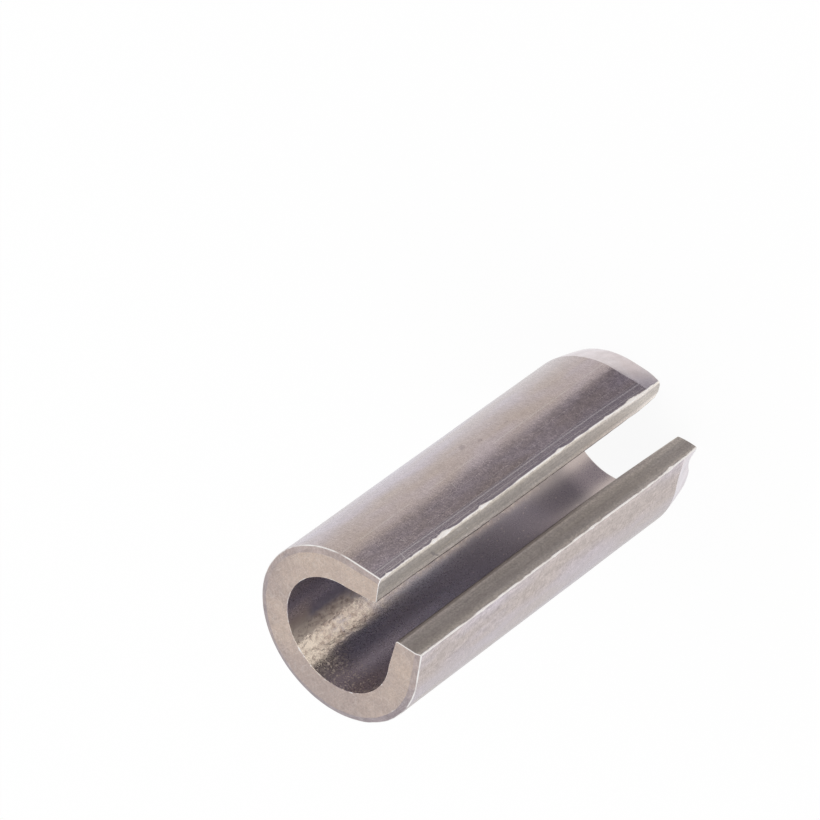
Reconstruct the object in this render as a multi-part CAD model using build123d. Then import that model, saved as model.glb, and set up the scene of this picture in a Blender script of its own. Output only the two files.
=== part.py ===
# Slotted spring pin, heavy pattern, 8 x 20 mm: one strip of spring steel rolled into a C.
# It stands on its tapered end, on the floor at Z = 0. Its axis is Z, and its slot faces -Y.

import os
from math import cos, radians, sin, tan

from build123d import *

# Driving dimensions, in millimetres and degrees

free_diameter = 8.65  # over the round, before the pin is driven in
pin_length = 20.0
strip_thickness = 1.5

# The strip's edges stay nearly flat when it is rolled, so each lip runs on straight to the slot.
# Each pair of angles is measured from the middle of the slot: where the lip starts on the circle,
# and how it is inclined. The two add up to 90 where the lip is tangent to the circle.
outside_start_angle = 45.0
outside_lip_angle = 45.0
inside_start_angle = 43.0
inside_lip_angle = 39.0
slot_width_outside = 3.75
slot_width_inside = 1.84

# Tapered end, which goes into the hole first
taper_depth = 0.325  # radial, so this end is 8.0 across
taper_length = 1.4

# Plain end, which is struck: its rim is only dressed
rim_break_width = 0.3
rim_break_height = 0.1


def lip_corner(radius, start_angle, lip_angle, slot_width):
    """The right-hand corner where a straight lip meets a slot of the given width."""
    start_x = radius * sin(radians(start_angle))
    start_y = -radius * cos(radians(start_angle))
    x = slot_width / 2
    return (x, start_y - (start_x - x) / tan(radians(lip_angle)))


def round_the_back(radius, start_angle):
    """The arc from where the right-hand lip starts, round behind the slot, to the left-hand one."""
    return CenterArc((0, 0), radius, 270 + start_angle, 360 - 2 * start_angle)


def mirrored(point):
    return (-point[0], point[1])


def blank():
    """A solid drop-shaped bar: the outside of the pin, with both lips run on until they meet."""
    radius = free_diameter / 2
    back = round_the_back(radius, outside_start_angle)
    tip = lip_corner(radius, outside_start_angle, outside_lip_angle, slot_width=0)
    lips = Polyline(back @ 1, tip, back @ 0)
    bar = extrude(make_face(Curve() + [back, lips]), pin_length)

    floor_end = bar.faces().sort_by(Axis.Z)[0]
    bar = chamfer(floor_end.edges(), taper_depth, taper_length, reference=floor_end)

    struck_end = bar.faces().sort_by(Axis.Z)[-1]
    return chamfer(struck_end.edges(), rim_break_width, rim_break_height, reference=struck_end)


def channel():
    """What the strip closes round: the bore, its straight flanks and the slot out to the open."""
    bore_radius = free_diameter / 2 - strip_thickness
    back = round_the_back(bore_radius, inside_start_angle)
    inner = lip_corner(bore_radius, inside_start_angle, inside_lip_angle, slot_width_inside)
    outer = lip_corner(free_diameter / 2, outside_start_angle, outside_lip_angle, slot_width_outside)

    # The slot's faces slant, and the cut follows them until it is well clear of the lips
    clear_y = -free_diameter
    reach = (clear_y - inner[1]) / (outer[1] - inner[1])
    mouth = (inner[0] + reach * (outer[0] - inner[0]), clear_y)

    flanks = Polyline(back @ 1, mirrored(inner), mirrored(mouth), mouth, inner, back @ 0)
    return extrude(make_face(Curve() + [back, flanks]), pin_length)


def spring_pin():
    return blank() - channel()


parts = {"spring_pin": spring_pin()}

os.makedirs("parts", exist_ok=True)
for name, part in parts.items():
    export_step(part, f"parts/{name}.step")
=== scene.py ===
from math import atan2, cos, degrees, exp, pi, radians, sin
import bmesh
import bpy
from mathutils import Euler, Matrix, Vector, noise


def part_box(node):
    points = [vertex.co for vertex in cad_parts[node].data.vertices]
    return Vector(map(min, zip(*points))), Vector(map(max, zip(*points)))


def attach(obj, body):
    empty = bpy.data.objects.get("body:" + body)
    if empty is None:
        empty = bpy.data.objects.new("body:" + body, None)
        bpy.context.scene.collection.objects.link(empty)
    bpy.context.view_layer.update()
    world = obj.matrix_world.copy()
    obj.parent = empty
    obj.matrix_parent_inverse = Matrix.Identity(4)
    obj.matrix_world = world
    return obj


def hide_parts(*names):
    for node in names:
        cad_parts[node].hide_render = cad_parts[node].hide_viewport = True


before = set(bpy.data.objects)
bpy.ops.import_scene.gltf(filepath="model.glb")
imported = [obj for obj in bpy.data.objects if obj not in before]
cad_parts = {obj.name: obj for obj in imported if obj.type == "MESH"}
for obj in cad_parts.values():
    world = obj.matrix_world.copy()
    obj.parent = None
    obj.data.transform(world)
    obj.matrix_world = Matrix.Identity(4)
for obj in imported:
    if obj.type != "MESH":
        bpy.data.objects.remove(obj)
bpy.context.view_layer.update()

mm, micrometre = 1e-3, 1e-6
touch = 1e-4  # in millimetres; what is closer than this is one place
scene = bpy.context.scene
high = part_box("spring_pin")[1]

# camera: the photograph's direction of view and slant, worked out from its outlines

camera = {  # millimetres and degrees
    "place": (44.556, -193.216, 174.725),
    "turn": (-34.696, 38.8261, -126.6182),
    "lens": 256.83,
    "sensor": 36.0,
    "nearest": 0.01,  # metres
    "farthest": 20.0,
}


def addCamera():
    data = bpy.data.cameras.new("camera")
    data.lens, data.sensor_width = camera["lens"], camera["sensor"]
    data.clip_start, data.clip_end = camera["nearest"], camera["farthest"]
    seen = bpy.data.objects.new("camera", data)
    seen.location = Vector(camera["place"]) * mm
    seen.rotation_euler = Euler([radians(a) for a in camera["turn"]])
    scene.collection.objects.link(seen)
    scene.camera = seen


addCamera()
print("camera placed")

# the pin, rolled up from a strip; built in millimetres, standing on its tapered end

pin = {  # millimetres and degrees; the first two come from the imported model
    "radius": high.x / mm,
    "length": high.z / mm,
    "wall": 1.5,
    "lipOuter": (1.875, -4.2415),  # the slot's corners, on the +X side
    "lipInner": (0.92, -3.309),
    "flankOuter": 45.0,  # where the straight flanks leave the round
    "flankInner": 43.0,
    "strip": {  # how finely it is cut
        "wallMarks": (0, 0.05, 0.1, 0.15, 0.2, 0.31, 0.44, 0.57, 0.7, 0.82, 0.9, 0.95, 1),
        "flankCuts": 14,
        "columnGather": 1.4,  # closer columns towards the lips
        "roundSteps": 54,
        "rings": 200,
        "ringGather": 0.35,  # closer rings towards both ends
        "upright": 0.5,  # a face whose normal rises or falls by more belongs to an end
        "slotReach": 4.0,  # and one that looks past the axis by less than this to the slot
        "sharpFrom": 32.0,  # edges that turn by more than this are shaded sharp
    },
    "taper": {
        "depth": 0.325,
        "length": 1.42,
        "atLips": 1.1,
        "belly": 1.12,  # 1 is a straight cone
        "lipFade": 1.2,
        "room": 3.0,  # how far up the rings make room for the line where it starts
        "wander": 0.04,  # of that line
        "wanderScale": 0.6,
    },
    "lips": {  # each is a little out of line, as rolled
        1: {"lean": -0.12, "leanTip": 0.07, "leanTop": 0.075, "flare": 0.0, "flareFrom": 8.0,
            "drawIn": 0.36, "drawFrom": 8.0, "drawCurve": 1.5, "tipRound": 0.3, "hollow": 0.0},
        -1: {"lean": -0.03, "leanTip": 0.0, "leanTop": 0.0, "flare": -0.18, "flareFrom": 8.0,
             "drawIn": 0.25, "drawFrom": 6.0, "drawCurve": 2.0, "tipRound": 0.05, "hollow": 0.12},
    },
    "leaning": {"tip": 1.6, "topFrom": 11.0, "topOver": 9.0, "flareCurve": 1.6, "fade": 1.5},
    "tips": {  # the lips' rounded lower ends; shares of the flank and of the wall
        "height": 1.6,
        "width": 0.5,
        "longest": 0.4,
        "curve": 2.2,
        "most": 1.2,
    },
    "burr": {  # the bright flat along each outer lip edge
        "flat": {1: 0.022, -1: 0.042},
        "wander": {1: 0.016, -1: 0.026},
        "wanderScale": 1.7,
        "fineWander": 0.5,
        "fineScale": 6.1,
        "least": 0.006,
        "rough": 0.008,
        "roughScale": 11.0,
        "width": 0.4,  # share of the flank and of the wall that it may reach
        "ragged": 0.35,
        "raggedScale": 9.0,
        "fade": 0.03,  # how far the brightness runs on beside it
        "knocks": {  # height on the pin, half length, depth
            1: ((19.45, 0.16, 0.035), (16.25, 0.12, 0.07), (15.55, 0.36, 0.1), (13.0, 0.1, 0.09),
                (12.7, 0.2, 0.04), (9.4, 0.5, 0.02), (7.5, 0.22, 0.06), (4.1, 0.08, 0.05),
                (2.2, 0.5, 0.045)),
            -1: ((19.3, 0.5, 0.02), (15.8, 0.3, 0.015), (13.4, 0.15, 0.02), (12.6, 0.2, 0.012),
                 (10.6, 0.2, 0.015), (7.9, 0.15, 0.015), (6.0, 0.3, 0.014), (4.9, 0.12, 0.015),
                 (2.1, 0.16, 0.04), (0.4, 0.3, 0.01)),
        },
    },
    "innerEdge": {  # slightly rolled over
        "round": {1: 0.06, -1: 0.025},
        "uneven": 0.3,
        "unevenScale": 1.1,
        "onBore": 0.15,  # share of the flank
        "onFace": 0.8,  # and from this share of the wall on
        "worn": 0.35,
        "nicks": {1: ((12.1, 0.1, 0.05), (8.0, 0.07, 0.06), (17.2, 0.08, 0.03)), -1: ()},
    },
    "skin": {  # unevenness of the rolled strip
        "wave": 0.008,
        "waveScale": 0.35,
        "waveMean": 0.6,
        "from": 0.1,  # share of the flank
        "shoulder": 0.016,  # the round runs on softly into the flank
        "shoulderReach": 0.5,
        "fadeBelow": 1.5,
        "fadeAbove": 1.0,
    },
    "swell": {  # the bore's back stands in a little near the plain end, and falls off faster to +X
        "depth": 0.048,
        "from": 13.5,
        "over": 3.5,
        "mouth": 18.0,
        "at": (-0.3, -0.48),  # below the mouth and at it
        "reach": {1: (0.5, 0.6), -1: (2.0, 0.6)},
    },
    "rimBreak": {
        "share": 0.2,  # of the wall
        "height": 0.1,
        "room": 1.0,  # how far down the rings make room for it
        "wander": 0.035,
        "wanderScales": (1.3, 4.0),
        "fineWander": 0.6,
        "worn": (0.35, 0.6, 1.6),  # along its inner line: mean, change and scale
    },
    "rims": {  # both ends' edges are rounded and rubbed
        "round": 0.028,
        "from": 50.0,  # edges that turn by more than this
        "topBand": 0.2,
        "bottomBand": 0.6,
        "level": 0.03,  # and rise by less
        "patchScale": 1.9,
        "gritScale": 7.0,
        "worn": {"outside": (0.8, 0.4, 0.2), "inside": (0.5, 0.5, 0.75)},  # mean, patches, grit
        "outside": 0.1,  # share of the wall that counts as outside
        "nearLip": 0.25,
        "nearLipFrom": 1.4,
        "corner": 0.02,  # share of the flank that is bright all through
    },
}
zones = {"skin": 0, "taper": 1, "plainEnd": 2, "rimBreak": 3, "slotFace": 4, "bore": 5}


def onCircle(radius, angle):  # angle from the middle of the slot, towards +X
    return Vector((radius * sin(radians(angle)), -radius * cos(radians(angle)), 0.0))


def angleOf(x, y):
    return degrees(atan2(x, -y))


def cornerAt(name, side=1, z=0.0):
    x, y = pin[name]
    return Vector((side * x, y, z))


def noiseAt(x, y, z):
    return noise.noise(Vector((x, y, z)))


def ease(x):
    x = min(max(x, 0.0), 1.0)
    return x * x * (3 - 2 * x)


def flankLength():
    return (onCircle(pin["radius"], pin["flankOuter"]) - cornerAt("lipOuter")).length


def skinGap(co):  # millimetres round the skin from the lip's edge
    past = angleOf(abs(co.x), co.y) - pin["flankOuter"]
    if past > 0:
        return flankLength() + pin["radius"] * radians(past)
    slope = radians(pin["flankOuter"])
    fromLip = Vector((abs(co.x), co.y, 0)) - cornerAt("lipOuter")
    return fromLip.dot(Vector((sin(slope), cos(slope), 0)))


def edgesWhere(bm, test):
    return [e for e in bm.edges if test(e.verts[0], e.verts[1])]


def vertsOf(out):
    return [g for g in out["geom"] if isinstance(g, bmesh.types.BMVert)]


# two layers say where a vertex is: along, or s for short, is 0 at the slot, 1 where the round
# starts and 2 at the back; across, or t, is 0 on the outside and 1 in the bore


def rollStrip(bm, across, along):  # half of the section, then its mirror image
    strip, marks = pin["strip"], pin["strip"]["wallMarks"]
    start = onCircle(pin["radius"], pin["flankOuter"])
    end = onCircle(pin["radius"] - pin["wall"], pin["flankInner"])
    outer, inner = bm.verts.new(start), bm.verts.new(end)
    inner[across] = 1.0
    outer[along] = inner[along] = 1.0
    wall = bm.edges.new((outer, inner))
    bmesh.ops.subdivide_edges(bm, edges=[wall], cuts=len(marks) - 2)
    for v in bm.verts:  # finer strips near both edges
        v[across] = marks[round(v[across] * (len(marks) - 1))]
        v.co = start.lerp(end, v[across])

    lipOuter, lipInner = cornerAt("lipOuter"), cornerAt("lipInner")
    for v in vertsOf(bmesh.ops.extrude_edge_only(bm, edges=bm.edges[:])):
        v.co = lipOuter.lerp(lipInner, v[across])
        v[along] = 0.0
    rungs = edgesWhere(bm, lambda a, b: a[along] != b[along])
    bmesh.ops.subdivide_edges(bm, edges=rungs, cuts=strip["flankCuts"])
    for v in bm.verts:
        if 0 < v[along] < 1:
            v[along] = v[along] ** strip["columnGather"]
            v.co = lipOuter.lerp(lipInner, v[across]).lerp(start.lerp(end, v[across]), v[along])

    turn = 180 - pin["flankOuter"]
    flank = set(bm.verts)
    spun = [v for v in bm.verts if v[along] == 1.0]
    spun += edgesWhere(bm, lambda a, b: a[along] == b[along] == 1.0)
    bmesh.ops.spin(bm, geom=spun, cent=(0, 0, 0), axis=(0, 0, 1), dvec=(0, 0, 0),
                   angle=radians(turn), steps=strip["roundSteps"])
    for v in bm.verts:
        if v not in flank:  # the bore's side starts a little earlier, so it is turned further
            first = start.lerp(end, v[across])
            firstAngle = angleOf(first.x, first.y)
            share = (angleOf(v.co.x, v.co.y) % 360 - firstAngle) / turn
            further = radians((180 - firstAngle - turn) * share)
            v.co = Matrix.Rotation(further, 3, "Z") @ v.co
            v[along] = 1 + share
            if share > 1 - touch:
                v.co.x = 0.0
    bmesh.ops.mirror(bm, geom=bm.verts[:] + bm.edges[:] + bm.faces[:],
                     matrix=Matrix.Identity(4), merge_dist=touch, axis="X")


def raiseRings(bm):
    out = bmesh.ops.extrude_face_region(bm, geom=bm.faces[:])
    bmesh.ops.translate(bm, verts=vertsOf(out), vec=(0, 0, pin["length"]))
    upright = edgesWhere(bm, lambda a, b: a.co.z != b.co.z)
    bmesh.ops.subdivide_edges(bm, edges=upright, cuts=pin["strip"]["rings"], use_grid_fill=True)
    for v in bm.verts:
        u = v.co.z / pin["length"]
        gathered = pin["strip"]["ringGather"] * sin(2 * pi * u) / (2 * pi)
        v.co.z = pin["length"] * (u - gathered)


def nearestRing(bm):  # the ring that is moved to the line where the taper starts
    rings = {round(v.co.z, 4) for v in bm.verts}
    return min(rings, key=lambda z: abs(z - pin["taper"]["length"]))


def sortZones(bm, across):
    bmesh.ops.recalc_face_normals(bm, faces=bm.faces[:])
    crease, breakShare = nearestRing(bm), pin["rimBreak"]["share"] - touch
    for f in bm.faces:
        f.smooth = True
        middle, facing = f.calc_center_median(), f.normal
        reach = facing.x * middle.x + facing.y * middle.y  # how far outside the axis it looks
        if abs(facing.z) > pin["strip"]["upright"]:
            broken = facing.z > 0 and min(v[across] for v in f.verts) < breakShare
            zone = "rimBreak" if broken else "plainEnd"
        elif reach < 0:
            zone = "bore"
        elif reach < pin["strip"]["slotReach"]:
            zone = "slotFace"
        else:
            zone = "taper" if middle.z < crease else "skin"
        f.material_index = zones[zone]


def taperStart(s):  # its height, lower at the lips
    taper = pin["taper"]
    return taper["length"] + (taper["atLips"] - taper["length"]) * ease(1 - s)


def creaseShift(co, s, crease):  # a ring lies on the line where the taper starts
    taper, z = pin["taper"], co.z
    if z >= taper["room"]:
        return 0.0
    nearness = z / crease if z < crease else (taper["room"] - z) / (taper["room"] - crease)
    wander = taper["wander"] * noise.noise(Vector((co.x, co.y, 5.0)) * taper["wanderScale"])
    return (taperStart(s) + wander - crease) * nearness


def leanOf(side, z):
    lip, leaning = pin["lips"][side], pin["leaning"]
    lean = lip["lean"] + lip["leanTip"] * ease(1 - z / leaning["tip"])
    lean += lip["leanTop"] * ease((z - leaning["topFrom"]) / leaning["topOver"])
    return lean + lip["flare"] * max(0.0, 1 - z / lip["flareFrom"]) ** leaning["flareCurve"]


def bend(co, side, s, t):  # lip lean, the lips' gradual draw-in and the taper
    z, lip, taper = co.z, pin["lips"][side], pin["taper"]
    nearLip = max(0.0, 1 - s)
    sharp = taper["depth"] * max(0.0, 1 - z / taperStart(s)) ** taper["belly"]
    slow = lip["drawIn"] * max(0.0, 1 - z / lip["drawFrom"]) ** lip["drawCurve"]
    depth = sharp + (slow - sharp) * nearLip ** taper["lipFade"]
    if s < 1:  # the flank's taper is cut deeper between its corners, most at two thirds
        outward = onCircle(1, side * pin["flankOuter"])
        depth += lip["hollow"] * 27 / 4 * s * s * (1 - s) * sharp / taper["depth"]
    else:
        outward = Vector((co.x, co.y, 0)).normalized()
    moved = co - outward * depth * (1 - t)
    moved.x += leanOf(side, z) * nearLip ** pin["leaning"]["fade"]
    return moved


def tipRise(side, s, t, z):  # the tips' rounded ends
    tips = pin["tips"]
    if z >= tips["height"] or s >= tips["width"]:
        return 0.0
    most = pin["lips"][side]["tipRound"] * (1 - s / tips["width"]) ** 2
    shape = abs(2 * (t - tips["longest"])) ** tips["curve"]
    return most * min(shape, tips["most"]) * (1 - z / tips["height"]) ** 2


def dents(marks, z):
    return sum(deep * exp(-((z - height) / half) ** 2) for height, half, deep in marks)


def wornBy(planed):  # bright where metal was taken off, and fading out right beside it
    return min(1.0, max(0.0, 1 + planed / pin["burr"]["fade"]))


def knockDepth(side, z):
    burr, wander = pin["burr"], pin["burr"]["wander"][side]
    depth = burr["flat"][side] + wander * noiseAt(z * burr["wanderScale"], side * 9.0, 0.3)
    depth += burr["fineWander"] * wander * noiseAt(z * burr["fineScale"], side * 4.0, 1.7)
    ragged = 1 + burr["ragged"] * noiseAt(z * burr["raggedScale"], 2.0, side)
    return max(depth + dents(burr["knocks"][side], z) * ragged, burr["least"])


def planeOuterEdge(v, side, z, worn):  # the flat along the lip's outer edge
    burr = pin["burr"]
    corner = bend(cornerAt("lipOuter", side, z), side, 0, 0)
    planed = corner.y + knockDepth(side, v.co.z) - v.co.y
    if planed > 0:
        v.co.y += planed + burr["rough"] * noise.noise(v.co * burr["roughScale"])
    v[worn] = max(v[worn], wornBy(planed))


def rollInnerEdge(v, side, z, worn):  # the lip's inner edge
    edge = pin["innerEdge"]
    corner = bend(cornerAt("lipInner", side, z), side, 0, 1)
    uneven = 1 + edge["uneven"] * noiseAt(z * edge["unevenScale"], side, 8.0)
    depth = edge["round"][side] * uneven + dents(edge["nicks"][side], z)
    planed = depth - side * (v.co.x - corner.x)
    if planed > 0:
        v.co.x += side * planed
    v[worn] = max(v[worn], edge["worn"] * wornBy(planed))


def swaySkin(v, z):  # the skin's slight waviness, and the shoulder
    skin = pin["skin"]
    sway = skin["wave"] * (noise.noise(v.co * skin["waveScale"]) - skin["waveMean"])
    past = (skinGap(v.co) - flankLength()) / skin["shoulderReach"]
    sway += skin["shoulder"] * exp(-past ** 2 / 2)
    sway *= ease(z / skin["fadeBelow"]) * ease((pin["length"] - z) / skin["fadeAbove"])
    v.co += Vector((v.co.x, v.co.y, 0)).normalized() * sway


def swellOf(x, z):
    swell = pin["swell"]
    below, atMouth = swell["at"]
    share = ease(z - swell["mouth"])
    off = x - (below + (atMouth - below) * share)
    below, atMouth = swell["reach"][1 if off > 0 else -1]
    off /= below + (atMouth - below) * share
    return swell["depth"] * exp(-off ** 2) * ease((z - swell["from"]) / swell["over"])


def breakRim(v, t, z, worn):
    rim, top = pin["rimBreak"], pin["length"]
    share, foot = rim["share"], top - rim["room"]
    if z > foot and t < share:  # with the rings below it moved along
        v.co.z -= rim["height"] * (1 - t / share) * (z - foot)
    if z > top - touch and abs(t - share) < touch:  # its inner line is rubbed and broken
        mean, change, scale = rim["worn"]
        v[worn] = max(v[worn], mean + change * noise.noise(v.co * scale))
    if z > top - touch and 0 < t <= share + touch:  # and uneven
        coarse, fine = (noise.noise(v.co * scale) for scale in rim["wanderScales"])
        inwards = onCircle(-1, angleOf(v.co.x, v.co.y))
        v.co += inwards * rim["wander"] * (coarse + rim["fineWander"] * fine) * t / share


def shapeSteel(bm, across, along, worn):
    crease, top = nearestRing(bm), pin["length"]
    burrWidth, edge = pin["burr"]["width"], pin["innerEdge"]
    for v in bm.verts:
        side = 1 if v.co.x >= 0 else -1
        t, s, z = v[across], v[along], v.co.z
        if t < 1:
            v.co.z += creaseShift(v.co, s, crease) * (1 - t)
        flatZ = v.co.z
        v.co = bend(v.co, side, s, t)
        v.co.z += tipRise(side, s, t, z)
        if (t == 0 and s < burrWidth) or (s == 0 and t < burrWidth):
            planeOuterEdge(v, side, flatZ, worn)
        if (t == 1 and s < edge["onBore"]) or (s == 0 and t > edge["onFace"]):
            rollInnerEdge(v, side, flatZ, worn)
        if t == 0 and s > pin["skin"]["from"] and touch <= z <= top - touch:
            swaySkin(v, z)
        if t == 1 and s > 1:
            v.co.y -= swellOf(v.co.x, z)
        breakRim(v, t, z, worn)


def roundRims(bm, across, along, worn):
    rims = pin["rims"]
    top, bottom = pin["length"] - rims["topBand"], rims["bottomBand"]
    chosen = []
    for e in bm.edges:
        lowest, highest = sorted(v.co.z for v in e.verts)
        atEnd = lowest > top or highest < bottom
        if atEnd and highest - lowest < rims["level"]:
            if e.calc_face_angle(0) > radians(rims["from"]):
                chosen.append(e)
    rounded = bmesh.ops.bevel(bm, geom=chosen, offset=rims["round"], offset_type="OFFSET",
                              segments=2, profile=0.5, affect="EDGES", clamp_overlap=False,
                              material=-1)
    for f in rounded["faces"]:
        f.smooth = False
    for v in rounded["verts"]:  # rubbed bright, most of all at the lips' corners
        outside = v[across] < rims["outside"]
        mean, patches, grit = rims["worn"]["outside" if outside else "inside"]
        wear = mean + patches * noise.noise(v.co * rims["patchScale"])
        wear += grit * noise.noise(v.co * rims["gritScale"])
        if outside:
            wear += rims["nearLip"] * ease(rims["nearLipFrom"] - v[along])
        v[worn] = 1.0 if v[along] < rims["corner"] else wear


def buildPin():
    bm = bmesh.new()
    names = ("across", "along", "worn", "lipGap")
    for name in names:
        bm.verts.layers.float.new(name)
    across, along, worn, lipGap = (bm.verts.layers.float[name] for name in names)
    rollStrip(bm, across, along)
    raiseRings(bm)
    sortZones(bm, across)
    shapeSteel(bm, across, along, worn)
    bm.normal_update()
    roundRims(bm, across, along, worn)
    bm.normal_update()
    sharpFrom = radians(pin["strip"]["sharpFrom"])
    for e in bm.edges:
        e.smooth = e.calc_face_angle(0) < sharpFrom and all(f.smooth for f in e.link_faces)
    for v in bm.verts:
        v[lipGap] = skinGap(v.co) * (1 if v.co.x >= 0 else -1)
    bmesh.ops.scale(bm, verts=bm.verts[:], vec=(mm, mm, mm))
    bmesh.ops.recalc_face_normals(bm, faces=bm.faces[:])
    mesh = bpy.data.meshes.new("spring_pin_body")
    bm.to_mesh(mesh)
    print("pin mesh:", sum(len(f.verts) - 2 for f in bm.faces), "triangles,",
          round(bm.calc_volume(signed=True) / mm ** 3, 1), "mm3, open edges",
          sum(e.is_boundary for e in bm.edges))
    bm.free()
    piece = bpy.data.objects.new("spring_pin_body", mesh)
    scene.collection.objects.link(piece)
    return piece


piece = buildPin()

# shared effects; all their sizes are in millimetres

recipes = {  # what stays the same wherever an effect is used
    "cloudRoughness": 0.6,
    "fleckJitterScale": 2.5,
    "fleckJitter": 0.35,
    "fleckCore": 0.5,  # share of its radius
    "scratchTurns": (0.5, 1.45, 2.6),
    "borderSoftness": 0.12,  # of scratches and of the gaps in lines
    "lineSwaySize": 6.0,
    "lineSway": 0.05,
    "lineGapSize": 1.1,
    "zoneSwaySize": 1.4,
    "smudgeGrit": 0.16,
    "smudgeCore": 0.45,  # share of its radius
    "edgeGrit": 0.12,
}


def setInputs(tree, node, values):
    for key, value in values.items():
        if isinstance(value, bpy.types.NodeSocket):
            tree.links.new(value, node.inputs[key])
        else:
            node.inputs[key].default_value = value
    return node


def place(tree, kind, inputs=None, **settings):
    node = tree.nodes.new("ShaderNode" + kind)
    for key, value in settings.items():
        setattr(node, key, value)
    return setInputs(tree, node, inputs or {})


def calc(tree, operation, *values):
    return place(tree, "Math", dict(enumerate(values)), operation=operation).outputs[0]


def times(tree, value, *others):
    for other in others:
        value = calc(tree, "MULTIPLY", value, other)
    return value


def strongest(tree, value, *others):
    for other in others:
        value = calc(tree, "MAXIMUM", value, other)
    return value


def ramp(tree, value, low, high, to=(0.0, 1.0)):  # a soft step between two borders
    borders = {"From Min": low, "From Max": high, "To Min": to[0], "To Max": to[1]}
    step = place(tree, "MapRange", {"Value": value, **borders}, interpolation_type="SMOOTHSTEP")
    return step.outputs["Result"]


def blend(tree, share, first, second, how="MIX"):
    mixed = place(tree, "Mix", {0: share, 6: first, 7: second}, data_type="RGBA", blend_type=how)
    return mixed.outputs[2]


def toned(tree, colour, factor):  # a colour times another, or times a grey tone
    return blend(tree, 1.0, colour, factor, "MULTIPLY")


def unsettle(tree, value, sway, amount):  # moves a value to and fro by a noise about 0.5
    return calc(tree, "MULTIPLY_ADD", calc(tree, "SUBTRACT", sway, 0.5), amount, value)


def attribute(tree, name):
    return place(tree, "Attribute", attribute_name=name).outputs["Fac"]


def axis(tree, letter):  # object coordinate in millimetres
    coords = place(tree, "TexCoord").outputs["Object"]
    metres = place(tree, "SeparateXYZ", {0: coords}).outputs[letter]
    return calc(tree, "MULTIPLY", metres, 1 / mm)


def vectorCalc(tree, operation, *values):
    return place(tree, "VectorMath", dict(enumerate(values)), operation=operation).outputs[0]


def inCells(tree, size, stretch, seed):  # object coordinates; a stretch below 1 draws them out
    coords = place(tree, "TexCoord").outputs["Object"]
    scale = calc(tree, "DIVIDE", 1 / mm, size)
    scaled = place(tree, "VectorMath", {0: coords, "Scale": scale}, operation="SCALE").outputs[0]
    squeeze = place(tree, "CombineXYZ", {0: 1.0, 1: 1.0, 2: stretch}).outputs[0]
    shift = place(tree, "CombineXYZ", {0: seed, 1: seed, 2: seed}).outputs[0]
    return vectorCalc(tree, "ADD", vectorCalc(tree, "MULTIPLY", scaled, squeeze), shift)


def softNoise(tree, coords, detail, **more):  # about 0.5
    settings = {"Vector": coords, "Scale": 1.0, "Detail": detail, **more}
    return place(tree, "TexNoise", settings).outputs["Fac"]


def startGroup(name, inputs, output):
    tree = bpy.data.node_groups.new(name, "ShaderNodeTree")
    kind = "NodeSocketFloat"
    for title, value in inputs.items():
        socket = tree.interface.new_socket(title, in_out="INPUT", socket_type=kind)
        socket.default_value = value
    tree.interface.new_socket(output, in_out="OUTPUT", socket_type=kind)
    return tree, tree.nodes.new("NodeGroupInput").outputs


def closeGroup(tree, result):
    tree.links.new(result, tree.nodes.new("NodeGroupOutput").inputs[0])
    return tree


def makeCloud():  # soft variation about 0.5
    tree, taken = startGroup("cloud", {"Size": 1.0, "Stretch": 1.0, "Seed": 0.0, "Detail": 3.0},
                             "Value")
    coords = inCells(tree, taken["Size"], taken["Stretch"], taken["Seed"])
    soft = softNoise(tree, coords, taken["Detail"], Roughness=recipes["cloudRoughness"])
    return closeGroup(tree, soft)


def makeFlecks():  # scattered small spots; Share of the cells hold one
    tree, taken = startGroup("flecks", {"Size": 0.3, "Stretch": 1.0, "Seed": 0.0, "Share": 0.2,
                                        "Radius": 0.25}, "Mask")
    coords = inCells(tree, taken["Size"], taken["Stretch"], taken["Seed"])
    jitter = place(tree, "TexNoise", {"Vector": coords, "Scale": recipes["fleckJitterScale"],
                                      "Detail": 2.0}).outputs["Color"]
    push = (recipes["fleckJitter"],) * 3
    moved = vectorCalc(tree, "MULTIPLY_ADD", jitter, push, coords)
    cells = place(tree, "TexVoronoi", {"Vector": moved, "Scale": 1.0}).outputs
    lot = place(tree, "SeparateColor", {0: cells["Color"]}).outputs[0]
    chosen = calc(tree, "LESS_THAN", lot, taken["Share"])
    core = times(tree, taken["Radius"], recipes["fleckCore"])
    spot = ramp(tree, cells["Distance"], taken["Radius"], core)
    return closeGroup(tree, times(tree, spot, chosen))


def makeScratches():  # three sets of short straight marks, crossing
    tree, taken = startGroup("scratches", {"Spacing": 0.1, "Length": 0.9, "Seed": 0.0, "Cut": 0.6},
                             "Mask")
    coords = inCells(tree, taken["Spacing"], 1.0, taken["Seed"])
    slender = calc(tree, "DIVIDE", taken["Spacing"], taken["Length"])
    squeeze = place(tree, "CombineXYZ", {0: slender, 1: 1.0, 2: 1.0}).outputs[0]
    full = calc(tree, "ADD", taken["Cut"], recipes["borderSoftness"])
    mask = 0.0
    for turn in recipes["scratchTurns"]:
        turned = place(tree, "VectorRotate", {"Vector": coords, "Angle": turn},
                       rotation_type="Z_AXIS").outputs[0]
        marks = softNoise(tree, vectorCalc(tree, "MULTIPLY", turned, squeeze), 2.0)
        mask = strongest(tree, mask, ramp(tree, marks, taken["Cut"], full))
    return closeGroup(tree, mask)


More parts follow.
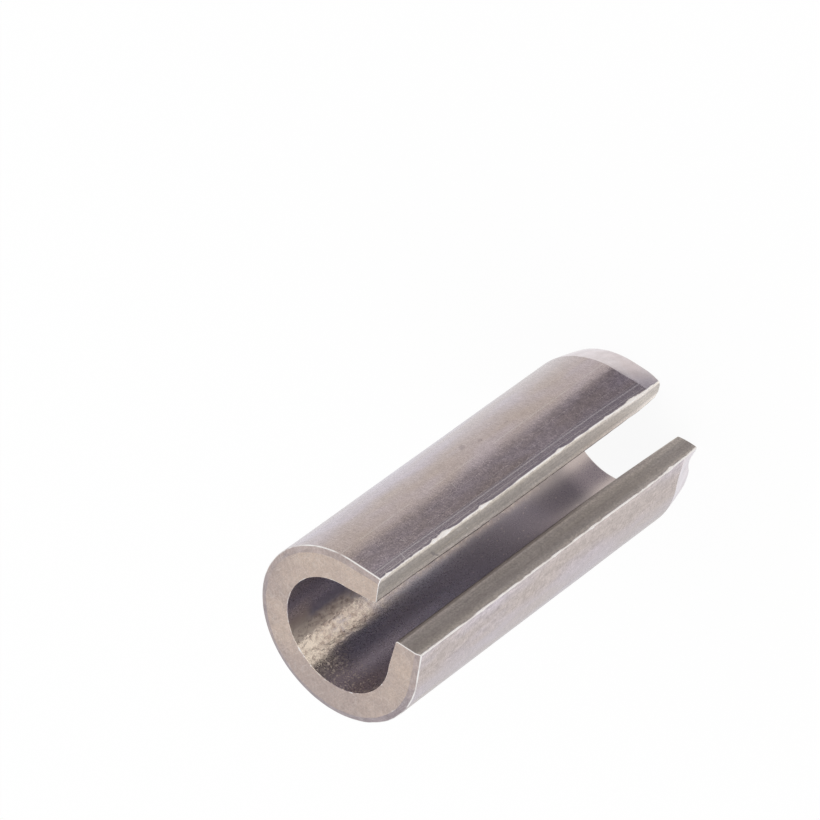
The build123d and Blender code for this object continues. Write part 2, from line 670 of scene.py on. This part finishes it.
def makeRuledLine():  # one draw line along the skin, at Gap from the lip
    tree, taken = startGroup("ruledLine", {"Gap": 0.4, "Width": 0.03, "Broken": 0.5, "Seed": 0.0},
                             "Mask")
    sway = softNoise(tree, inCells(tree, recipes["lineSwaySize"], 1.0, taken["Seed"]), 1.0)
    swayed = unsettle(tree, attribute(tree, "lipGap"), sway, recipes["lineSway"])
    off = calc(tree, "ABSOLUTE", calc(tree, "SUBTRACT", swayed, taken["Gap"]))
    line = ramp(tree, off, taken["Width"], 0.0)
    gaps = softNoise(tree, inCells(tree, recipes["lineGapSize"], 1.0, taken["Seed"]), 3.0)
    gone = calc(tree, "SUBTRACT", taken["Broken"], recipes["borderSoftness"])
    return closeGroup(tree, times(tree, line, ramp(tree, gaps, gone, taken["Broken"])))


def makeHeightZone():  # 0 at From and 1 at To, up the pin, with a wandering border
    tree, taken = startGroup("heightZone", {"From": 0.0, "To": 1.0, "Wander": 0.5, "Seed": 0.0},
                             "Mask")
    sway = softNoise(tree, inCells(tree, recipes["zoneSwaySize"], 1.0, taken["Seed"]), 3.0)
    up = unsettle(tree, axis(tree, "Z"), sway, taken["Wander"])
    return closeGroup(tree, ramp(tree, up, taken["From"], taken["To"]))


def makeSmudge():  # one mark at a place: Across is the distance over the surface
    tree, taken = startGroup("smudge", {"Across": 0.0, "At": 1.0, "Height": 10.0, "Wide": 0.2,
                                        "Long": 0.2, "Slant": 0.0, "Broken": 0.8}, "Mask")
    over = calc(tree, "SUBTRACT", taken["Across"], taken["At"])
    up = calc(tree, "SUBTRACT", axis(tree, "Z"), taken["Height"])
    up = calc(tree, "MULTIPLY_ADD", over, taken["Slant"], up)
    wide, long = calc(tree, "DIVIDE", over, taken["Wide"]), calc(tree, "DIVIDE", up, taken["Long"])
    far = calc(tree, "ADD", times(tree, wide, wide), times(tree, long, long))
    grit = softNoise(tree, inCells(tree, recipes["smudgeGrit"], 1.0, 5.0), 3.0)
    far = unsettle(tree, calc(tree, "SQRT", far), grit, taken["Broken"])
    return closeGroup(tree, ramp(tree, far, 1.0, recipes["smudgeCore"]))


def makeWornEdge():  # where edges are knocked bright, broken up
    tree, taken = startGroup("wornEdge", {"Spread": 0.5, "Grit": 0.25}, "Mask")
    grit = softNoise(tree, inCells(tree, recipes["edgeGrit"], 1.0, 3.0), 3.0)
    uneven = unsettle(tree, attribute(tree, "worn"), grit, taken["Grit"])
    start = calc(tree, "SUBTRACT", 1.0, taken["Spread"])
    return closeGroup(tree, ramp(tree, uneven, start, 1.0))


effects = {
    "cloud": makeCloud(), "flecks": makeFlecks(), "scratches": makeScratches(),
    "ruledLine": makeRuledLine(), "heightZone": makeHeightZone(), "smudge": makeSmudge(),
    "wornEdge": makeWornEdge(),
}


def effect(tree, name, **values):
    node = tree.nodes.new("ShaderNodeGroup")
    node.node_tree = effects[name]
    return setInputs(tree, node, values).outputs[0]


def heightZone(tree, start, end, wander, seed):
    return effect(tree, "heightZone", From=start, To=end, Wander=wander, Seed=seed)


# finishes

finishes = {  # linear colours; sizes in millimetres, heights in micrometres
    "skin": {
        "warm": (0.49, 0.422, 0.398, 1), "cool": (0.515, 0.458, 0.492, 1),
        "cloud": 2.6, "stretch": 0.3, "seed": 4.0,
        "grain": 0.075, "grainStretch": 1.5, "grainDepth": 0.14,
        "mottle": 0.36, "mottleStretch": 3.2, "mottleDepth": 0.07, "drawDepth": 0.02,
        "roughness": (0.2, 0.27), "height": 8.0, "edgeGrit": 0.5,
    },
    "taper": {
        "warm": (0.75, 0.69, 0.715, 1), "cool": (0.78, 0.74, 0.775, 1),
        "cloud": 1.2, "stretch": 1.0, "seed": 5.0,
        "grain": 0.08, "grainStretch": 1.0, "grainDepth": 0.05,
        "mottle": 0.4, "mottleStretch": 0.7, "mottleDepth": 0.06, "drawDepth": 0.0,
        "roughness": (0.3, 0.38), "height": 1.2, "edgeGrit": 0.5,
    },
    "plainEnd": {
        "warm": (0.55, 0.45, 0.39, 1), "cool": (0.445, 0.367, 0.34, 1),
        "cloud": 3.6, "stretch": 1.0, "seed": 3.0, "tilt": (-0.03, 0.01),
        "grain": 0.08, "grainStretch": 1.0, "grainDepth": 0.14,
        "mottle": 0.24, "mottleStretch": 0.7, "mottleDepth": 0.06, "drawDepth": 0.0,
        "roughness": (0.45, 0.55), "height": 1.4, "edgeGrit": 0.25, "marks": 0.16,
    },
    "rimBreak": {
        "warm": (0.44, 0.365, 0.345, 1), "cool": (0.335, 0.285, 0.3, 1),
        "cloud": 1.6, "stretch": 1.0, "seed": 5.0, "tilt": (-0.035, 0.035),
        "grain": 0.07, "grainStretch": 1.0, "grainDepth": 0.1,
        "mottle": 0.3, "mottleStretch": 0.7, "mottleDepth": 0.12, "drawDepth": 0.0,
        "roughness": (0.4, 0.5), "height": 1.2, "edgeGrit": 0.25, "marks": 0.15,
    },
    "slotFace": {
        "warm": (0.60, 0.555, 0.51, 1), "cool": (0.58, 0.54, 0.515, 1),
        "cloud": 0.5, "stretch": 0.06, "seed": 5.0,
        "grain": 0.07, "grainStretch": 0.7, "grainDepth": 0.17,
        "mottle": 0.2, "mottleStretch": 0.4, "mottleDepth": 0.04, "drawDepth": 0.09,
        "roughness": (0.46, 0.54), "height": 1.2, "edgeGrit": 0.5,
    },
    "bore": {
        "warm": (0.59, 0.553, 0.61, 1), "cool": (0.56, 0.542, 0.625, 1),
        "cloud": 1.4, "stretch": 0.4, "seed": 5.0,
        "grain": 0.07, "grainStretch": 1.0, "grainDepth": 0.06,
        "mottle": 0.26, "mottleStretch": 0.7, "mottleDepth": 0.05, "drawDepth": 0.03,
        "roughness": (0.26, 0.34), "height": 0.5, "edgeGrit": 0.5,
    },
}
layering = {  # in all finishes: noise values where a layer starts and where it is full
    "clouds": (0.36, 0.64),
    "tones": (0.28, 0.72),
    "roughness": (0.3, 0.7),
    "draw": {"Size": 0.13, "Stretch": 0.015, "Seed": 7.0, "Detail": 3.0},
}
silver = {"colour": (0.86, 0.84, 0.83, 1), "roughness": 0.2, "spread": 0.55}


def startFinish(name):  # two colours in clouds, under grain, mottle and draw lines
    look = finishes[name]
    material = bpy.data.materials.new(name)
    material.use_nodes = True
    tree = material.node_tree
    shade = effect(tree, "cloud", Size=look["cloud"], Stretch=look["stretch"], Seed=look["seed"],
                   Detail=3.0)
    for letter, tilt in zip("XY", look.get("tilt", ())):
        shade = calc(tree, "MULTIPLY_ADD", axis(tree, letter), tilt, shade)
    colour = blend(tree, ramp(tree, shade, *layering["clouds"]), look["warm"], look["cool"])
    grain = effect(tree, "cloud", Size=look["grain"], Stretch=look["grainStretch"], Seed=2.0,
                   Detail=2.0)
    mottle = effect(tree, "cloud", Size=look["mottle"], Stretch=look["mottleStretch"], Seed=8.0,
                    Detail=2.0)
    layers = [(grain, look["grainDepth"]), (mottle, look["mottleDepth"])]
    if look["drawDepth"]:
        layers.append((effect(tree, "cloud", **layering["draw"]), look["drawDepth"]))
    for layer, depth in layers:
        tone = ramp(tree, layer, *layering["tones"], (1 - depth, 1 + depth))
        colour = toned(tree, colour, tone)
    rough = ramp(tree, grain, *layering["roughness"], look["roughness"])
    return material, tree, colour, rough, calc(tree, "ADD", grain, mottle)


def closeFinish(name, material, tree, colour, rough, height):
    look = finishes[name]
    edge = effect(tree, "wornEdge", Spread=silver["spread"], Grit=look["edgeGrit"])
    colour = blend(tree, edge, colour, silver["colour"])
    rough = ramp(tree, edge, 0.0, 1.0, (rough, silver["roughness"]))
    bump = place(tree, "Bump", {"Height": height, "Distance": look["height"] * micrometre,
                                "Strength": 1.0})
    setInputs(tree, tree.nodes["Principled BSDF"], {
        "Metallic": 1.0, "Base Color": colour, "Roughness": rough, "Normal": bump.outputs[0]})
    return material


def smudges(tree, marks, across):  # the strongest of several marks
    mask = 0.0
    for at, height, wide, long, slant, strength in marks:
        mark = effect(tree, "smudge", Across=across, At=at, Height=height, Wide=wide, Long=long,
                      Slant=slant)
        mask = strongest(tree, mask, times(tree, mark, strength))
    return mask


# borders in the marks below are where a thing starts and where it is full, and a bracket after
# them holds its values there, where those aren't 0 and 1

skinMarks = {  # gap from the lip (below 0 at the -X lip), height, half sizes, slant, strength
    "stains": (
        (3.17, 10.36, 0.26, 0.24, 0.3, 0.4), (2.84, 9.5, 0.14, 0.22, 0.3, 0.35),
        (2.79, 7.72, 0.1, 0.2, 0.0, 0.3), (-0.7, 14.48, 0.16, 0.13, 0.4, 0.35),
        (-0.75, 15.24, 0.12, 0.1, 0.0, 0.35), (-0.61, 10.1, 0.2, 0.2, 0.0, 0.15)),
    "scratches": (
        (0.25, 18.05, 0.3, 0.04, 0.3, 0.5), (0.5, 18.8, 0.25, 0.03, 0.4, 0.25),
        (0.9, 17.3, 0.3, 0.03, -0.3, 0.25), (-0.6, 16.8, 0.4, 0.03, 0.15, 0.3),
        (1.6, 12.9, 0.25, 0.03, 0.3, 0.3)),
    "drawLines": (  # gap from the +X lip, width, how broken, strength
        (0.12, 0.04, 0.42, 0.3), (0.21, 0.025, 0.5, 0.2), (0.38, 0.045, 0.36, 0.55),
        (0.5, 0.025, 0.5, 0.2), (0.85, 0.025, 0.55, 0.16), (1.35, 0.025, 0.57, 0.14),
        (2.2, 0.05, 0.46, 0.2), (3.3, 0.025, 0.57, 0.08)),
    "lineRoughness": 0.16,
    "sideReflection": (1.04, 1.06, 1.13, 1),  # painted reflection: a little lighter and cooler along the +X side
    "sideFrom": (3.95, 4.3),
    "rubbed": (1.1, 1.1, 1.11, 1),  # times the colour right by the -X lip
    "rubbedGap": ((-0.48, -0.3), (0.0, -0.02)),
    "nearLip": (0.47, 0.43, 0.46, 1),
    "nearLipGap": ((0.55, 0.4), (-0.1, 0.0, (0.0, 0.7))),
    "scuff": {"Size": 0.2, "Stretch": 0.6, "Seed": 31.0, "Detail": 3.0},
    "scuffDepth": (0.3, 0.7, (0.88, 1.12)),
    "flank": (2.0, 1.5),
    "specks": {"Size": 0.8, "Stretch": 0.7, "Seed": 4.0, "Share": 0.14, "Radius": 0.26},
    "speckPatches": {"Size": 2.2, "Stretch": 0.8, "Seed": 11.0, "Detail": 2.0},
    "speckStrength": (0.5, 0.68, (0.0, 0.2)),
    "stainColour": (0.24, 0.2, 0.21, 1),
}


def finishSkin():
    material, tree, colour, rough, height = startFinish("skin")
    marks, gap = skinMarks, attribute(tree, "lipGap")
    scuffed = ramp(tree, effect(tree, "cloud", **marks["scuff"]), *marks["scuffDepth"])
    onFlank = ramp(tree, calc(tree, "ABSOLUTE", gap), *marks["flank"])
    colour = blend(tree, onFlank, colour, toned(tree, colour, scuffed))
    # painted reflection: the skin lighter and cooler along the +X side
    beside = ramp(tree, axis(tree, "X"), *marks["sideFrom"])
    colour = blend(tree, beside, colour, toned(tree, colour, marks["sideReflection"]))
    rubbed = times(tree, *(ramp(tree, gap, *borders) for borders in marks["rubbedGap"]))
    colour = blend(tree, rubbed, colour, toned(tree, colour, marks["rubbed"]))
    nearLip = times(tree, *(ramp(tree, gap, *borders) for borders in marks["nearLipGap"]))
    colour = blend(tree, nearLip, colour, marks["nearLip"])
    lines = smudges(tree, marks["scratches"], gap)
    for number, (lineGap, width, broken, strength) in enumerate(marks["drawLines"]):
        line = effect(tree, "ruledLine", Gap=lineGap, Width=width, Broken=broken,
                      Seed=3.0 * number)
        lines = strongest(tree, lines, times(tree, line, strength))
    colour = blend(tree, lines, colour, silver["colour"])
    rough = calc(tree, "MULTIPLY_ADD", lines, marks["lineRoughness"], rough)
    patchy = ramp(tree, effect(tree, "cloud", **marks["speckPatches"]), *marks["speckStrength"])
    specks = times(tree, effect(tree, "flecks", **marks["specks"]), patchy)
    stained = strongest(tree, specks, smudges(tree, marks["stains"], gap))
    colour = blend(tree, stained, colour, marks["stainColour"])
    return closeFinish("skin", material, tree, colour, rough, height)


def finishTaper():
    return closeFinish("taper", *startFinish("taper"))


endMarks = {
    "scratches": {"Spacing": 0.05, "Length": 0.7, "Seed": 1.0, "Cut": 0.56},
    "scratchDepth": 0.5,
    "dots": {"Size": 0.34, "Stretch": 1.0, "Seed": 9.0, "Share": 0.12, "Radius": 0.14},
    "dotStrength": 0.3,
    "dotColour": (0.3, 0.26, 0.25, 1),
}


def finishEnd(name):
    material, tree, colour, rough, height = startFinish(name)
    fine = effect(tree, "scratches", **endMarks["scratches"])
    colour = blend(tree, times(tree, fine, finishes[name]["marks"]), colour, silver["colour"])
    height = calc(tree, "SUBTRACT", height, times(tree, fine, endMarks["scratchDepth"]))
    dots = times(tree, effect(tree, "flecks", **endMarks["dots"]), endMarks["dotStrength"])
    colour = blend(tree, dots, colour, endMarks["dotColour"])
    return closeFinish(name, material, tree, colour, rough, height)


slotMarks = {  # share of the wall from outside, height, half sizes, slant, strength
    "dark": ((0.55, 16.25, 0.2, 0.13, 1.2, 0.6), (0.75, 15.95, 0.12, 0.1, 1.2, 0.5)),
    "light": ((0.52, 13.9, 0.13, 0.035, 1.0, 0.9), (0.3, 14.6, 0.08, 0.03, 0.8, 0.6)),
    "darkColour": (0.3, 0.27, 0.29, 1),
    "sides": (-0.1, 0.1),  # from the -X face to the +X one
    "tone": (0.25, 0.76),  # the -X face has the second, and the +X face both together
    "rubbedEdges": ((0.22, 0.1, (0.0, 0.3)), (0.6, 0.84, (0.0, 0.3))),
    "rubbedTone": (0.8, 0.75),  # likewise
    "band": ((0.2, 0.36), (0.6, 0.48)),  # a dull band on the -X face
    "bandStrength": 0.22,
    # painted shade along the inner edges, where the faces roll over into the bore; the dull band
    # takes this colour too
    "innerEdge": (0.27, 0.235, 0.22, 1),
    "innerBorder": {1: (0.875, 0.9), -1: (0.84, 0.89)},
    "innerStrength": {1: 0.9, -1: 0.7},
    "innerHeights": (5.0, 9.0, 1.0, 0.0),  # on the -X face
    "borderNoise": {"Size": 1.3, "Stretch": 0.6, "Seed": 21.0, "Detail": 3.0},
    "borderWander": 0.03,
    "dots": {"Size": 0.5, "Stretch": 1.0, "Seed": 5.0, "Share": 0.1, "Radius": 0.1},
    "dotStrength": 0.6,
}


def finishSlotFace():
    material, tree, colour, rough, height = startFinish("slotFace")
    marks, across = slotMarks, attribute(tree, "across")
    right = ramp(tree, axis(tree, "X"), *marks["sides"])
    left = calc(tree, "SUBTRACT", 1.0, right)
    edges = calc(tree, "ADD", *(ramp(tree, across, *borders) for borders in marks["rubbedEdges"]))
    rubbed = times(tree, edges, calc(tree, "MULTIPLY_ADD", right, *marks["rubbedTone"]))
    tone = calc(tree, "MULTIPLY_ADD", right, *marks["tone"])
    colour = toned(tree, colour, times(tree, tone, calc(tree, "ADD", rubbed, 1.0)))
    band = times(tree, *(ramp(tree, across, *borders) for borders in marks["band"]))
    dulled = times(tree, band, left, marks["bandStrength"])
    wander = effect(tree, "cloud", **marks["borderNoise"])
    edge = unsettle(tree, across, wander, marks["borderWander"])
    # painted shade along each face's inner edge
    onLeft = times(tree, ramp(tree, edge, *marks["innerBorder"][-1]), left,
                   heightZone(tree, *marks["innerHeights"]), marks["innerStrength"][-1])
    onRight = times(tree, ramp(tree, edge, *marks["innerBorder"][1]), right,
                    marks["innerStrength"][1])
    colour = blend(tree, strongest(tree, dulled, onLeft, onRight), colour, marks["innerEdge"])
    faceGap = times(tree, across, right)  # 0 on the -X face, which has none of the placed marks
    colour = blend(tree, smudges(tree, marks["dark"], faceGap), colour, marks["darkColour"])
    dots = times(tree, effect(tree, "flecks", **marks["dots"]), marks["dotStrength"])
    light = strongest(tree, dots, smudges(tree, marks["light"], faceGap))
    colour = blend(tree, light, colour, silver["colour"])
    return closeFinish("slotFace", material, tree, colour, rough, height)


boreMarks = {  # zones are the heights where they start and are full, their wander and their seed
    "shadeAndLightByDepth": (  # from the mouth down: painted shade deeper in the bore, painted light at the far end
        ((13.0, 8.0, 1.2, 1.0), (0.36, 0.338, 0.38, 1)),
        ((5.5, 3.0, 1.6, 2.0), (0.36, 0.325, 0.333, 1)),
        ((2.4, 0.9, 0.8, 3.0), (0.63, 0.56, 0.55, 1))),
    "warmSide": (0.645, 0.575, 0.59, 1),  # the wall at -X, by the mouth
    "warmX": (-1.5, -2.1),
    "warmHeights": (13.0, 16.0, 0.8, 8.0),
    "brown": (0.54, 0.455, 0.45, 1),  # between that and the streak
    "brownX": (-0.5, -1.1),
    "brownHeights": (17.3, 19.4, 0.8, 7.0),
    "brownStrength": 0.8,
    "brownFlecks": {"Size": 0.11, "Seed": 19.0},
    "brownFleckShare": (0.54, 0.64),
    "brownFleckRoughness": 0.25,
    "middleX": -0.12,  # of the lit brassy streak down the back, a painted highlight
    "back": (1.2, 2.2),  # towards +Y
    "mouth": (12.5, 17.5, 1.5, 4.0),
    # a painted highlight along the back of the brim
    "brim": (18.2, 19.2, 0.8, 5.0),
    "brimWidth": (2.0, 1.0),
    "wide": (1.05, 0.6),  # half its width in the mouth
    "narrow": (0.8, 0.3),  # and all the way down
    "narrowHeights": (1.5, 6.0, 0.5, 6.0),
    "narrowStrength": 0.5,
    "patches": {"Size": 0.9, "Stretch": 0.8, "Seed": 23.0, "Detail": 3.0},
    "patchStrength": (0.34, 0.5, (0.5, 1.0)),
    "thick": {"Size": 0.2, "Stretch": 0.75, "Seed": 15.0, "Detail": 5.0},
    # the streak's brass: partly its own tone, partly painted highlight
    "litBrass": (0.78, 0.65, 0.56, 1),
    "brassShare": (0.3, 0.45, (0.65, 1.0)),
    # the brass flecks' colour, also the painted highlight and glints in the streak and at the brim
    "brassFleckAndHighlight": (0.99, 0.88, 0.76, 1),
    "brightShare": (0.46, 0.6, (0.0, 0.8)),
    "flecks": {"Size": 0.14, "Stretch": 0.8, "Seed": 6.0, "Share": 0.1, "Radius": 0.32},
    "fleckStrength": 0.28,
    "scales": {"Size": 0.2, "Stretch": 0.8, "Seed": 13.0, "Detail": 5.0},
    "scaleHeight": 0.3,
    "pit": (0.5, 0.4, 0.35, 1),
    "pitShare": (0.5, 0.36),
    "pitStrength": 0.75,
    "glintShare": (0.48, 0.62),
    "glintStrength": 0.8,
    "pitting": 27.0,  # how much rougher the streak is than the bore around it
    "sheenWidth": (1.4, 0.7),
    "sheen": (0.0, 0.4, (-0.07, 0.12)),  # roughness by X: glossier to -X, duller to +X
}


def finishBore():
    material, tree, colour, rough, height = startFinish("bore")
    marks, x = boreMarks, axis(tree, "X")
    # painted shade darkens the bore downwards, and painted light brightens it at the far end
    for heights, tone in marks["shadeAndLightByDepth"]:
        colour = blend(tree, heightZone(tree, *heights), colour, tone)
    warm = times(tree, ramp(tree, x, *marks["warmX"]), heightZone(tree, *marks["warmHeights"]))
    colour = blend(tree, warm, colour, marks["warmSide"])
    brown = times(tree, ramp(tree, x, *marks["brownX"]), heightZone(tree, *marks["brownHeights"]))
    colour = blend(tree, times(tree, brown, marks["brownStrength"]), colour, marks["brown"])
    speckled = ramp(tree, effect(tree, "cloud", **marks["brownFlecks"]), *marks["brownFleckShare"])
    speckled = times(tree, brown, speckled)

    # painted highlight: a lit streak down the back of the bore, widest in the mouth, and a lit
    # brim above it
    off = calc(tree, "ABSOLUTE", calc(tree, "SUBTRACT", x, marks["middleX"]))
    back = ramp(tree, axis(tree, "Y"), *marks["back"])
    mouth, brim = heightZone(tree, *marks["mouth"]), heightZone(tree, *marks["brim"])
    wide = times(tree, ramp(tree, off, *marks["wide"]), mouth)
    narrow = times(tree, ramp(tree, off, *marks["narrow"]),
                   heightZone(tree, *marks["narrowHeights"]), marks["narrowStrength"])
    patches = ramp(tree, effect(tree, "cloud", **marks["patches"]), *marks["patchStrength"])
    litStreak = times(tree, back, strongest(tree, wide, narrow), patches)
    thick = effect(tree, "cloud", **marks["thick"])
    scales = effect(tree, "cloud", **marks["scales"])
    brassy = times(tree, litStreak, ramp(tree, thick, *marks["brassShare"]))
    # painted highlight in the streak and at the brim, and real brass flecks all over
    bright = strongest(
        tree, times(tree, litStreak, mouth, ramp(tree, thick, *marks["brightShare"])),
        times(tree, back, brim, ramp(tree, off, *marks["brimWidth"])),
        times(tree, effect(tree, "flecks", **marks["flecks"]), marks["fleckStrength"]))
    pits = times(tree, ramp(tree, scales, *marks["pitShare"]), litStreak, marks["pitStrength"])
    # painted glints in the streak
    glints = times(tree, ramp(tree, scales, *marks["glintShare"]), litStreak, marks["glintStrength"])
    colour = blend(tree, brassy, colour, marks["litBrass"])
    colour = blend(tree, bright, colour, marks["brassFleckAndHighlight"])
    colour = blend(tree, pits, colour, marks["pit"])
    colour = blend(tree, strongest(tree, glints, speckled), colour, marks["brassFleckAndHighlight"])

    relief = calc(tree, "ADD", thick, times(tree, scales, marks["scaleHeight"]))
    height = calc(tree, "MULTIPLY_ADD", times(tree, litStreak, marks["pitting"]), relief, height)
    sheen = times(tree, back, mouth, ramp(tree, off, *marks["sheenWidth"]))
    rough = calc(tree, "MULTIPLY_ADD", sheen, ramp(tree, x, *marks["sheen"]), rough)
    rough = calc(tree, "MULTIPLY_ADD", speckled, marks["brownFleckRoughness"], rough)
    return closeFinish("bore", material, tree, colour, rough, height)


for finished in (finishSkin(), finishTaper(), finishEnd("plainEnd"), finishEnd("rimBreak"),
                 finishSlotFace(), finishBore()):
    piece.data.materials.append(finished)
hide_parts("spring_pin")
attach(piece, "root")
print("materials made")

# floor and light

stage = {
    "floorSize": 1.6,
    "floorColour": (0.92, 0.92, 0.92, 1.0),
    "floorRoughness": 0.9,
    "floorWhite": 0.93,  # share of plain white that the camera sees, under the shadow
    "white": (1, 1, 1, 1),
    "darkTowards": (0.62, -0.47, -0.63),  # the darker part, as in a light tent's opening
    "darkColour": (0.27, 0.252, 0.292, 1.0),
    "darkFrom": 14.5,  # degrees off its middle: all dark inside the first, none past the second
    "darkTo": 27.2,
    "shadeColour": (0.86, 0.82, 0.78, 1.0),  # a faint shade that fades out further round it
    "shadeTo": 75.0,
    "sideTowards": (-0.417, 0.643, -0.643),  # another, seen along the far side of the pin
    "sideColour": (0.85, 0.845, 0.86, 1.0),
    "sideFrom": 5.0,
    "sideTo": 23.0,
    "lampWatts": 0.15,
    "lampSize": 0.25,
    "lampPlace": (-0.25, -0.15, 0.42),
}


def addFloor():
    bpy.ops.mesh.primitive_plane_add(size=stage["floorSize"], location=(0, 0, 0))
    floor = bpy.context.object
    floor.name = "floor"
    floor.visible_glossy = False  # the world below it is as white, so metal shows that
    floor.visible_shadow = False
    material = bpy.data.materials.new("floor")
    material.use_nodes = True
    tree = material.node_tree
    shader = setInputs(tree, tree.nodes["Principled BSDF"], {
        "Base Color": stage["floorColour"], "Roughness": stage["floorRoughness"]})
    path = place(tree, "LightPath").outputs
    seen = strongest(tree, path["Is Camera Ray"], path["Is Glossy Ray"],
                     path["Is Transmission Ray"])
    glow = place(tree, "Emission").outputs[0]
    mix = place(tree, "MixShader", {0: times(tree, seen, stage["floorWhite"]),
                                    1: shader.outputs[0], 2: glow})
    setInputs(tree, tree.nodes["Material Output"], {"Surface": mix.outputs[0]})
    floor.data.materials.append(material)


def coneAbout(tree, towards, outer, inner):  # 1 within inner degrees of a direction, 0 past outer
    direction = place(tree, "TexCoord").outputs["Generated"]
    facing = place(tree, "VectorMath", {0: direction, 1: Vector(towards).normalized()},
                   operation="DOT_PRODUCT").outputs["Value"]
    return ramp(tree, facing, cos(radians(outer)), cos(radians(inner)))


def addWorld():
    world = bpy.data.worlds.new("studio")
    scene.world = world
    world.use_nodes = True
    tree = world.node_tree
    shade = coneAbout(tree, stage["darkTowards"], stage["shadeTo"], stage["darkTo"])
    dark = coneAbout(tree, stage["darkTowards"], stage["darkTo"], stage["darkFrom"])
    side = coneAbout(tree, stage["sideTowards"], stage["sideTo"], stage["sideFrom"])
    tone = blend(tree, shade, stage["white"], stage["shadeColour"])
    tone = blend(tree, dark, tone, stage["darkColour"])
    tone = blend(tree, side, tone, stage["sideColour"])
    setInputs(tree, tree.nodes["Background"], {"Color": tone, "Strength": 1.0})


def addLamp():
    data = bpy.data.lights.new("softbox", "AREA")
    data.shape, data.size, data.energy = "SQUARE", stage["lampSize"], stage["lampWatts"]
    lamp = bpy.data.objects.new("softbox", data)
    lamp.location = stage["lampPlace"]
    lamp.rotation_euler = (-Vector(stage["lampPlace"])).to_track_quat("-Z", "Y").to_euler()
    scene.collection.objects.link(lamp)


addFloor()
addWorld()
addLamp()
scene.view_settings.view_transform = "Standard"
print("floor and light set")
